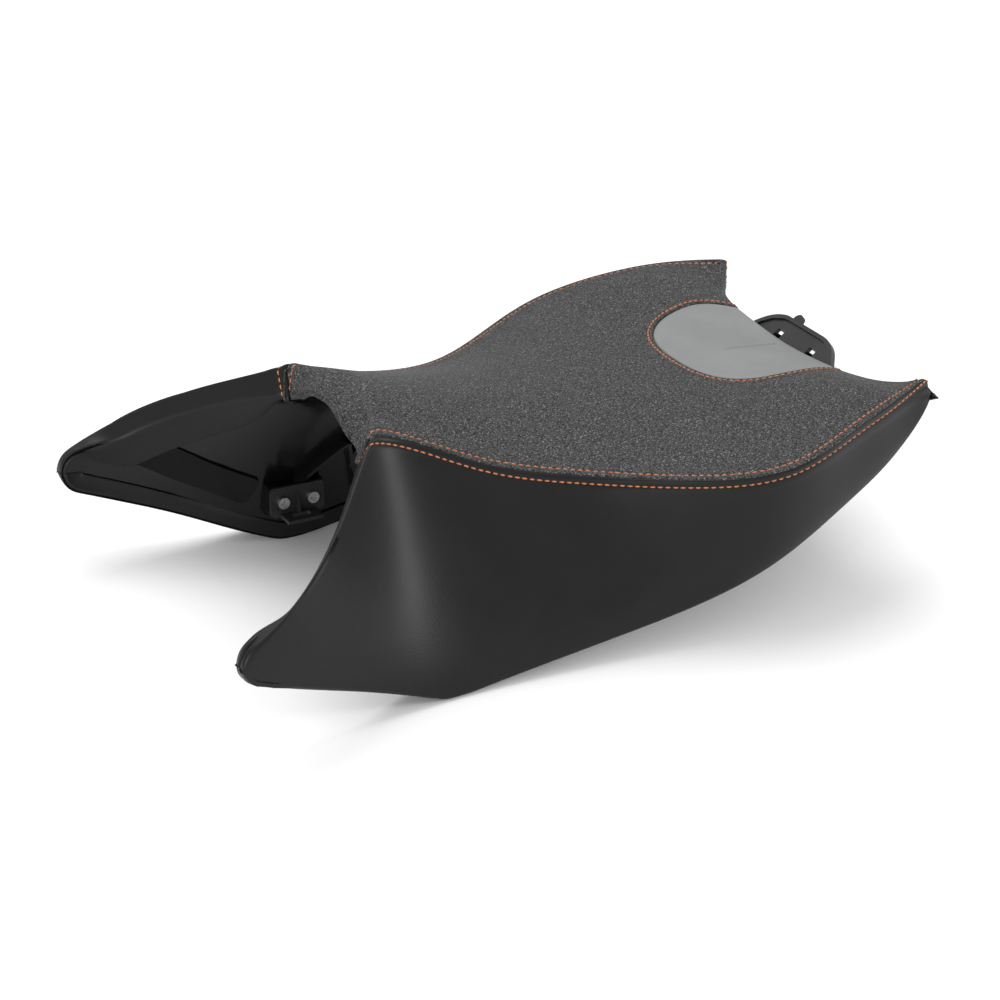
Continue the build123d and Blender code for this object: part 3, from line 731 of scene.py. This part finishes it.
for name, sign in (("left", 1), ("right", -1)):
    flip = np.array([1, sign, 1])
    low_part = tall[:, b0:] * flip
    obj, back = grid_mesh("cover_side_" + name + "_skin", [wide * flip, low_part],
                                 [wide_lift, seam_shape(99 + 0 * low_part[..., 0])], (0, sign, .2))
    co, vn = grid_points(obj, back, 0, wide.shape[:2])
    stitch_paths.append((co[row_at, begin:stop], vn[row_at, begin:stop]))
    side_objs[name] = obj

# ---------------------------------------------------------------------------
# Rear insert and the folded lip round it
# ---------------------------------------------------------------------------
def on_top(u, y):
    """A point of the top surface, carried over the rounded rear edge."""
    u, y = np.broadcast_arrays(np.asarray(u, float), np.asarray(y, float))
    edge_u = u_rear(y)

    def flat(uu):
        z = np.zeros_like(uu)
        i = np.clip((uu - US[0]) / DU, 0, len(US) - 1.001)
        i0 = i.astype(int)
        for shift, w in ((0, 1 - (i - i0)), (1, i - i0)):
            rows = i0 + shift
            vals = np.array([np.interp(abs(yy), TOP[r, ::-1, 0], TOP[r, ::-1, 1])
                             for r, yy in zip(rows.ravel(), y.ravel())]).reshape(uu.shape)
            z = z + w * vals
        return np.stack([uu, y, z], -1)

    top = flat(np.minimum(u, edge_u))
    corner = flat(edge_u)
    a = flat(edge_u - REAR_ROUND)
    b = corner - np.array([0, 0, REAR_ROUND])
    below = corner - np.stack([0 * u, 0 * u, np.maximum(u - edge_u, 0)], -1)
    d = u - edge_u
    t = np.clip((d / REAR_ROUND + 1) / 2, 0, 1)[..., None]
    curve = (1 - t) ** 2 * a + 2 * t * (1 - t) * corner + t * t * b
    base_pt = np.where((d > 0)[..., None], below, top)
    return np.where((np.abs(d) < REAR_ROUND)[..., None], curve, base_pt)


def strip_normals(grid):
    a = np.gradient(grid, axis=0)
    b = np.gradient(grid, axis=1)
    n = np.cross(a, b)
    n /= np.maximum(np.linalg.norm(n, axis=2)[..., None], 1e-9)
    return n


path = outline[outline[:, 0] < 476 + 14.5]
tang = np.gradient(path, axis=0)
tang /= np.linalg.norm(tang, axis=1)[:, None]
side_n = np.stack([tang[:, 1], -tang[:, 0]], 1)
side_n *= np.sign(((path - [440.0, 0]) * side_n).sum(1))[:, None]
LIP_D = np.array([7.4, 6.6, 5.8, 5.0, 4.4, 3.9, 3.4, 2.9, 2.3, 1.7, 1.1, .6, .25, .05, -.1, -.15])
LIP_H = np.array([-.35, -.05, .2, .38, .38, .22, .1, .22, .45, .6, .62, .45, .1, -.6, -1.6, -2.6])
lip_uy = path[:, None] + LIP_D[None, :, None] * side_n[:, None]
lip_base = on_top(lip_uy[..., 0], lip_uy[..., 1])
even_uy = path[:, None] + np.linspace(6, -3, 16)[None, :, None] * side_n[:, None]
flat_base = on_top(even_uy[..., 0], even_uy[..., 1])
lip_n = strip_normals(flat_base)
lip_n *= np.sign(lip_n[len(path) // 2, 8, 2])
lip_grid = lip_base + lip_n * LIP_H[None, :, None]
lip, back = grid_mesh("cover_top_insert_lip", [lip_grid], [0.0], (0, 0, 1))
lip_co, lip_vn = grid_points(lip, back, 0, lip_grid.shape[:2])
stitch_paths.append((lip_co[:, 6], lip_vn[:, 6]))

INS_D = np.array([0, .12, .35, .7, 1.1, 1.6, 2.3, 3.2, 4.4, 6, 8])
INS_H = np.array([-2.4, -1.5, -.8, -.4, -.18, -.02, .1, .2, .3, .38, .42])
axis_u = np.maximum(path[:, 0], 424.0)
target = np.stack([axis_u, 0 * axis_u], 1)
run = np.linalg.norm(target - path, axis=1)
inner_dir = (target - path) / run[:, None]
frac = np.linspace(0, 1, 26)[1:]
offs = np.concatenate([np.tile(INS_D, (len(path), 1)),
                       INS_D[-1] + (run[:, None] - INS_D[-1]) * frac[None]], 1)
ins_uy = path[:, None] + offs[..., None] * inner_dir[:, None]
ins_base = on_top(ins_uy[..., 0], ins_uy[..., 1])
ins_h = np.concatenate([np.tile(INS_H, (len(path), 1)),
                        INS_H[-1] + .45 * np.sin(frac * math.pi / 2)[None] + 0 * run[:, None]], 1)
ins_n = strip_normals(ins_base)
ins_n *= np.sign(ins_n[len(path) // 2, 12, 2])
behind = ins_uy[..., 0] > u_rear(ins_uy[..., 1]) + 4
rear_n = np.where(behind[..., None], np.array([1.0, 0, 0]), ins_n)
rear_n[:, -1] = rear_n[:, -2]
ins_grid = ins_base + rear_n * ins_h[..., None]
insert, back = grid_mesh("cover_rear_insert_skin", [ins_grid], [0.0], (0, 0, 1))

for obj in [cover_top, lip, insert] + list(side_objs.values()):
    thicken(obj, LIP_THICK if obj is lip else COVER_THICK)


# ---------------------------------------------------------------------------
# Thread: one capsule of twisted thread per stitch
# ---------------------------------------------------------------------------
def stitches(name, paths, pitch=STITCH_PITCH, radius=.00052, share=.74):
    verts, faces = [], []
    rings, sides = 7, 8
    for co, vn in paths:
        step = np.linalg.norm(np.diff(co, axis=0), axis=1)
        d = np.concatenate([[0], np.cumsum(step)]) * 1000
        count = int(d[-1] / pitch)
        for k in range(count):
            mid = (k + .5) * d[-1] / count + rng.uniform(-.12, .12)
            halfl = pitch * share / 2 * rng.uniform(.94, 1.05)
            lean = rng.uniform(-.05, .05)
            samples = mid + halfl * np.linspace(-1, 1, rings)
            pos = np.stack([np.interp(samples, d, co[:, i]) for i in range(3)], 1)
            nor = np.stack([np.interp(samples, d, vn[:, i]) for i in range(3)], 1)
            nor /= np.linalg.norm(nor, axis=1)[:, None]
            tan = pos[-1] - pos[0]
            tan /= max(np.linalg.norm(tan), 1e-9)
            lat = np.cross(nor, tan)
            lat /= np.linalg.norm(lat, axis=1)[:, None]
            bow = 1 - np.linspace(-1, 1, rings) ** 2
            pos = pos + nor * (radius * (.95 * bow - .35))[:, None]
            pos = pos + lat * (lean * np.linspace(-1, 1, rings) * .0009)[:, None]
            size = radius * np.array([.45, .82, 1, 1.04, 1, .82, .45])
            base_i = len(verts)
            for r in range(rings):
                for a in range(sides):
                    ang = 2 * math.pi * a / sides
                    off = lat[r] * math.cos(ang) * 1.12 + nor[r] * math.sin(ang) * .9
                    verts.append(pos[r] + off * size[r])
            for r in range(rings - 1):
                for a in range(sides):
                    b_ = (a + 1) % sides
                    faces.append((base_i + r * sides + a, base_i + r * sides + b_,
                                  base_i + (r + 1) * sides + b_, base_i + (r + 1) * sides + a))
            faces.append(tuple(base_i + a for a in range(sides - 1, -1, -1)))
            faces.append(tuple(base_i + (rings - 1) * sides + a for a in range(sides)))
    mesh = bpy.data.meshes.new(name)
    mesh.from_pydata([tuple(v) for v in verts], [], faces)
    mesh.update()
    for p in mesh.polygons:
        p.use_smooth = True
    obj = bpy.data.objects.new(name, mesh)
    bpy.context.scene.collection.objects.link(obj)
    return obj


thread_top = stitches("thread_seams", stitch_paths[:4])
thread_insert = stitches("thread_insert", stitch_paths[4:], pitch=4.4)

# ---------------------------------------------------------------------------
# Dark tubes meant to close in the tongue's two catch holes (millimetres): painted shade, so the holes
# read dark instead of showing the floor through them.  The tongue's web is over their front walls, so
# those hang
# 29 mm below the rear walls.  The rear walls reach 0.4 mm into the holes' declared space.
# ---------------------------------------------------------------------------
HOLE_X, HOLE_Y = (-234.6, -228.6), (15.5, 24.5)
HOLE_GAP, SHADE_TUBE_WALL, SHADE_TUBE_DEEP = .12, 1.1, 11.0
tongue_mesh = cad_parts["rear_tongue"].data
tongue_tree = BVHTree.FromPolygons([v.co * 1000 for v in tongue_mesh.vertices],
                                   [tuple(p.vertices) for p in tongue_mesh.polygons])


def under_tongue(x, y):
    """Height of the tongue's underside."""
    hit = tongue_tree.ray_cast(Vector((x, y, 60)), Vector((0, 0, 1)), 90)[0]
    return hit.z if hit is not None else 118.0


def hole_reach(x, y, way):
    """Distance to the tongue's nearest wall one way, just above its underside ahead of a hole."""
    z = under_tongue(x + 9, y) + 1.0
    hit = tongue_tree.ray_cast(Vector((x, y, z)), Vector(way), 12)[0]
    return (hit - Vector((x, y, z))).length if hit is not None else None


shade_tube_verts, shade_tube_faces = [], []
for side_sign in (1, -1):
    cx, cy = (HOLE_X[0] + HOLE_X[1]) / 2, side_sign * (HOLE_Y[0] + HOLE_Y[1]) / 2
    half_x = hole_reach(cx, cy, (1, 0, 0)) or (HOLE_X[1] - HOLE_X[0]) / 2
    half_y = hole_reach(cx, cy, (0, 1, 0)) or (HOLE_Y[1] - HOLE_Y[0]) / 2
    base = len(shade_tube_verts)
    for grow in (HOLE_GAP, HOLE_GAP + SHADE_TUBE_WALL):
        for sx, sy in ((1, 1), (-1, 1), (-1, -1), (1, -1)):
            x, y = cx + sx * (half_x + grow), cy + sy * (half_y + grow)
            top = under_tongue(cx + sx * (half_x + .9), cy + sy * (half_y + .9)) - .05
            shade_tube_verts += [(x / 1000, y / 1000, z / 1000) for z in (top, top - SHADE_TUBE_DEEP)]
    for k in range(4):
        a, b = base + 2 * k, base + 2 * ((k + 1) % 4)
        c, d = a + 8, b + 8
        shade_tube_faces += [(a, b, b + 1, a + 1), (c, c + 1, d + 1, d),
                         (a, c, d, b), (a + 1, b + 1, d + 1, c + 1)]
shade_tube_mesh = bpy.data.meshes.new("tongue_hole_shade_tubes")
shade_tube_mesh.from_pydata(shade_tube_verts, [], shade_tube_faces)
shade_tube_mesh.validate()
shade_tubes = bpy.data.objects.new("tongue_hole_shade_tubes", shade_tube_mesh)
bpy.context.scene.collection.objects.link(shade_tubes)


# ---------------------------------------------------------------------------
# Materials
# ---------------------------------------------------------------------------
def material(name, colour, rough, metallic=0.0, specular=.5, coat=0.0):
    mat = bpy.data.materials.new(name)
    mat.use_nodes = True
    nt = mat.node_tree
    bsdf = nt.nodes["Principled BSDF"]
    bsdf.inputs["Base Color"].default_value = (*colour, 1)
    bsdf.inputs["Roughness"].default_value = rough
    bsdf.inputs["Metallic"].default_value = metallic
    bsdf.inputs["Specular IOR Level"].default_value = specular
    bsdf.inputs["Coat Weight"].default_value = coat
    return mat, nt, bsdf


def node(nt, kind, **values):
    n = nt.nodes.new(kind)
    for k, v in values.items():
        if k in n.inputs:
            n.inputs[k].default_value = v
        else:
            setattr(n, k, v)
    return n


def coords(nt):
    return nt.nodes.new("ShaderNodeTexCoord").outputs["Object"]


def ramp(nt, source, stops):
    r = nt.nodes.new("ShaderNodeValToRGB")
    r.color_ramp.elements[0].position, r.color_ramp.elements[0].color = stops[0][0], (*stops[0][1], 1)
    r.color_ramp.elements[1].position, r.color_ramp.elements[1].color = stops[-1][0], (*stops[-1][1], 1)
    for pos, col in stops[1:-1]:
        e = r.color_ramp.elements.new(pos)
        e.color = (*col, 1)
    nt.links.new(source, r.inputs["Fac"])
    return r.outputs["Color"]


def bump(nt, bsdf, height, strength, distance, chain_from=None):
    b = node(nt, "ShaderNodeBump", Strength=strength, Distance=distance)
    nt.links.new(height, b.inputs["Height"])
    if chain_from is not None:
        nt.links.new(chain_from.outputs["Normal"], b.inputs["Normal"])
    nt.links.new(b.outputs["Normal"], bsdf.inputs["Normal"])
    return b


def grained(name, dark, light, rough, rough_span, cell, bump_size, fine=.00003, **kw):
    """Leather-like vinyl: cellular grain, fine pores and slow variation."""
    mat, nt, bsdf = material(name, dark, rough, **kw)
    at = coords(nt)
    cells = node(nt, "ShaderNodeTexVoronoi", Scale=1 / cell, feature="SMOOTH_F1", Smoothness=.35)
    nt.links.new(at, cells.inputs["Vector"])
    slow = node(nt, "ShaderNodeTexNoise", Scale=22.0, Detail=4.0, Roughness=.6)
    nt.links.new(at, slow.inputs["Vector"])
    pores = node(nt, "ShaderNodeTexNoise", Scale=2600.0, Detail=2.0, Roughness=.5)
    nt.links.new(at, pores.inputs["Vector"])
    colour = ramp(nt, slow.outputs["Fac"], [(.3, dark), (.7, light)])
    nt.links.new(colour, bsdf.inputs["Base Color"])
    span = node(nt, "ShaderNodeMapRange")
    span.inputs["To Min"].default_value = rough - rough_span
    span.inputs["To Max"].default_value = rough + rough_span
    nt.links.new(slow.outputs["Fac"], span.inputs["Value"])
    nt.links.new(span.outputs["Result"], bsdf.inputs["Roughness"])
    first_bump = bump(nt, bsdf, cells.outputs["Distance"], .6, bump_size)
    bump(nt, bsdf, pores.outputs["Fac"], .5, fine, first_bump)
    return mat


def grip_material():
    """Anti-slip vinyl: raised pebbles with a painted highlight on their tops, painted shade in the gaps
    between them and painted glints.
    """
    mat, nt, bsdf = material("grip_vinyl_pebbled", (.03, .03, .031), .62, specular=.22)
    at = coords(nt)
    peb = node(nt, "ShaderNodeTexVoronoi", Scale=1 / .0013, feature="SMOOTH_F1", Smoothness=.25)
    nt.links.new(at, peb.inputs["Vector"])
    spot = node(nt, "ShaderNodeTexNoise", Scale=900.0, Detail=3.0, Roughness=.7)
    nt.links.new(at, spot.inputs["Vector"])
    slow = node(nt, "ShaderNodeTexNoise", Scale=30.0, Detail=3.0)
    nt.links.new(at, slow.inputs["Vector"])
    # Painted highlight on the pebble tops and painted shade in the gaps, from the same pebble distance
    # that drives the bump.
    base = ramp(nt, peb.outputs["Distance"],
                [(.0, (.075, .075, .077)), (.45, (.030, .030, .031)), (.8, (.007, .007, .0075))])
    # Painted glints: sparse light dots added to the colour in place of specular glints on the vinyl.
    painted_glints = ramp(nt, spot.outputs["Fac"], [(.55, (0, 0, 0)), (.68, (.26, .26, .255))])
    mix = node(nt, "ShaderNodeMix", data_type="RGBA", blend_type="ADD")
    mix.inputs["Factor"].default_value = .8
    nt.links.new(base, mix.inputs["A"])
    nt.links.new(painted_glints, mix.inputs["B"])
    nt.links.new(mix.outputs["Result"], bsdf.inputs["Base Color"])
    inv = node(nt, "ShaderNodeMath", operation="SUBTRACT")
    inv.inputs[0].default_value = 1.0
    nt.links.new(peb.outputs["Distance"], inv.inputs[1])
    b1 = bump(nt, bsdf, inv.outputs["Value"], .9, .00035)
    bump(nt, bsdf, spot.outputs["Fac"], .5, .00012, b1)
    return mat


def thread_material():
    mat, nt, bsdf = material("copper_thread", (.50, .16, .055), .55, specular=.35)
    at = coords(nt)
    twist = node(nt, "ShaderNodeTexWave", Scale=900.0, Distortion=2.0, Detail=2.0,
                 bands_direction="DIAGONAL")
    nt.links.new(at, twist.inputs["Vector"])
    # Painted shade: the colour darkens in the grooves of the twist, the same bands that drive the bump.
    nt.links.new(ramp(nt, twist.outputs["Fac"], [(.1, (.30, .085, .03)), (.8, (.62, .22, .085))]),
                 bsdf.inputs["Base Color"])
    bump(nt, bsdf, twist.outputs["Fac"], .7, .0001)
    return mat


def moulded(name, colour, rough, grain=.0007, depth=.00005, **kw):
    """Injection-moulded plastic or rubber: fine spark-eroded texture and slow gloss change."""
    mat, nt, bsdf = material(name, colour, rough, **kw)
    at = coords(nt)
    fine = node(nt, "ShaderNodeTexNoise", Scale=1 / grain, Detail=3.0, Roughness=.6)
    slow = node(nt, "ShaderNodeTexNoise", Scale=35.0, Detail=5.0, Roughness=.65)
    nt.links.new(at, fine.inputs["Vector"])
    nt.links.new(at, slow.inputs["Vector"])
    lo = tuple(v * .75 for v in colour)
    hi = tuple(v * 1.35 for v in colour)
    nt.links.new(ramp(nt, slow.outputs["Fac"], [(.3, lo), (.7, hi)]), bsdf.inputs["Base Color"])
    span = node(nt, "ShaderNodeMapRange")
    span.inputs["To Min"].default_value = rough * .8
    span.inputs["To Max"].default_value = min(1, rough * 1.25)
    nt.links.new(slow.outputs["Fac"], span.inputs["Value"])
    nt.links.new(span.outputs["Result"], bsdf.inputs["Roughness"])
    bump(nt, bsdf, fine.outputs["Fac"], .5, depth)
    return mat


def woven(name, colour, pitch):
    """Woven tape: crossing threads."""
    mat, nt, bsdf = material(name, colour, .85, specular=.2)
    at = coords(nt)
    warp = node(nt, "ShaderNodeTexWave", Scale=1 / pitch / 6.28, bands_direction="X", Distortion=.6)
    weft = node(nt, "ShaderNodeTexWave", Scale=1 / pitch / 6.28, bands_direction="Y", Distortion=.6)
    nt.links.new(at, warp.inputs["Vector"])
    nt.links.new(at, weft.inputs["Vector"])
    both = node(nt, "ShaderNodeMath", operation="MULTIPLY")
    nt.links.new(warp.outputs["Fac"], both.inputs[0])
    nt.links.new(weft.outputs["Fac"], both.inputs[1])
    # Painted shade: the colour darkens where the crossing threads dip, the same pattern that drives the
    # bump.
    nt.links.new(ramp(nt, both.outputs["Value"], [(.1, tuple(v * .5 for v in colour)), (.8, colour)]),
                 bsdf.inputs["Base Color"])
    bump(nt, bsdf, both.outputs["Value"], .8, .0002)
    return mat


grip = grip_material()
smooth = grained("smooth_charcoal_vinyl", (.0045, .0045, .0048), (.0065, .0065, .0068),
                 .40, .04, .0011, .00006, specular=.24)
leather = grained("grey_leather", (.165, .168, .168), (.20, .203, .203), .5, .05, .0012, .00007)
thread = thread_material()
pan_black = moulded("pan_black_plastic", (.0025, .0025, .0027), .2, .0012, .00006, specular=.3)
tongue_grey = moulded("tongue_satin_plastic", (.014, .014, .015), .4, specular=.35)
rubber = moulded("bumper_rubber", (.008, .008, .008), .7, .0009, .0001, specular=.3)
zinc = moulded("zinc_steel", (.55, .55, .53), .34, .0005, .00003, metallic=1.0)
brass = moulded("insert_brass", (.6, .42, .16), .35, .0005, .00004, metallic=1.0)
felt = moulded("felt_strip", (.006, .006, .0063), .95, .0006, .0004, specular=.15)
tape = woven("backing_tape", (.02, .02, .021), .0009)

for obj, mat, slot_name, nodes in (
        (cover_top, grip, "grip_vinyl", ["cover_top_panel"]),
        (lip, grip, "grip_vinyl", []),
        (insert, leather, "grey_leather", ["cover_rear_insert"]),
        (side_objs["left"], smooth, "smooth_vinyl", ["cover_side_left", "foam_core"]),
        (side_objs["right"], smooth, "smooth_vinyl", ["cover_side_right"]),
        (thread_top, thread, "grip_vinyl", []),
        (thread_insert, thread, "grip_vinyl", []),
        (pan_shell, pan_black, "pan_black_plastic", ["base_pan"]),
        (shade_tubes, pan_black, "tongue_plastic", []),
        (strip_objs[0], felt, "felt_strip", ["wing_strip_left"]),
        (strip_objs[1], felt, "felt_strip", ["wing_strip_right"])):
    obj.data.materials.clear()
    obj.data.materials.append(mat)
    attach(obj, "root")
    if nodes:
        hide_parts(*nodes)

finishes = {"base_pan": pan_black, "rear_tongue": tongue_grey, "tongue_screws": zinc,
            "tongue_inserts": brass, "front_hook": tongue_grey, "hook_screws": zinc,
            "seam_tape": tape, "wing_strip": felt, "bumper": rubber}
for name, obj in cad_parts.items():
    for start, mat in finishes.items():
        if name.startswith(start):
            obj.data.materials.clear()
            obj.data.materials.append(mat)

# ---------------------------------------------------------------------------
# Floor, light and camera
# ---------------------------------------------------------------------------
bpy.ops.mesh.primitive_plane_add(size=14, location=(0, 0, 0))
floor = bpy.context.object
floor.name = "floor"
floor_mat, nt, bsdf = material("pale_floor", (.93, .93, .93), .9, specular=.1)
dust = node(nt, "ShaderNodeTexNoise", Scale=3.0)
nt.links.new(coords(nt), dust.inputs["Vector"])
nt.links.new(ramp(nt, dust.outputs["Fac"], [(.2, (.925, .925, .925)), (.8, (.94, .94, .94))]),
             bsdf.inputs["Base Color"])
floor.data.materials.append(floor_mat)

world = bpy.data.worlds.new("studio")
bpy.context.scene.world = world
world.use_nodes = True
world.node_tree.nodes["Background"].inputs["Color"].default_value = (1, 1, 1, 1)
world.node_tree.nodes["Background"].inputs["Strength"].default_value = .75


def softbox(name, place, aim, size, power):
    data = bpy.data.lights.new(name, "AREA")
    data.shape = "RECTANGLE"
    data.size, data.size_y = size
    data.energy = power
    obj = bpy.data.objects.new(name, data)
    bpy.context.scene.collection.objects.link(obj)
    obj.location = place
    obj.rotation_euler = (Vector(aim) - Vector(place)).to_track_quat("-Z", "Y").to_euler()


softbox("key", (.1, -.6, 1.9), (0, 0, .1), (1.6, 1.6), 24)
softbox("fill", (1.9, 1.5, .55), (.15, .1, .08), (.9, .7), 22)
softbox("rear", (-1.5, 1.2, .75), (-.15, .1, .1), (.6, .5), 13)

cam_data = bpy.data.cameras.new("camera")
cam_data.lens = 104.4
cam_data.sensor_width = 36
camera = bpy.data.objects.new("camera", cam_data)
bpy.context.scene.collection.objects.link(camera)
forward = Vector((-.4193, -.8005, -.4282)).normalized()
camera.location = (MID / 1000 + .5712, 1.568, .8936)
camera.rotation_euler = forward.to_track_quat("-Z", "Y").to_euler()
bpy.context.scene.camera = camera
bpy.context.scene.view_settings.view_transform = "Standard"
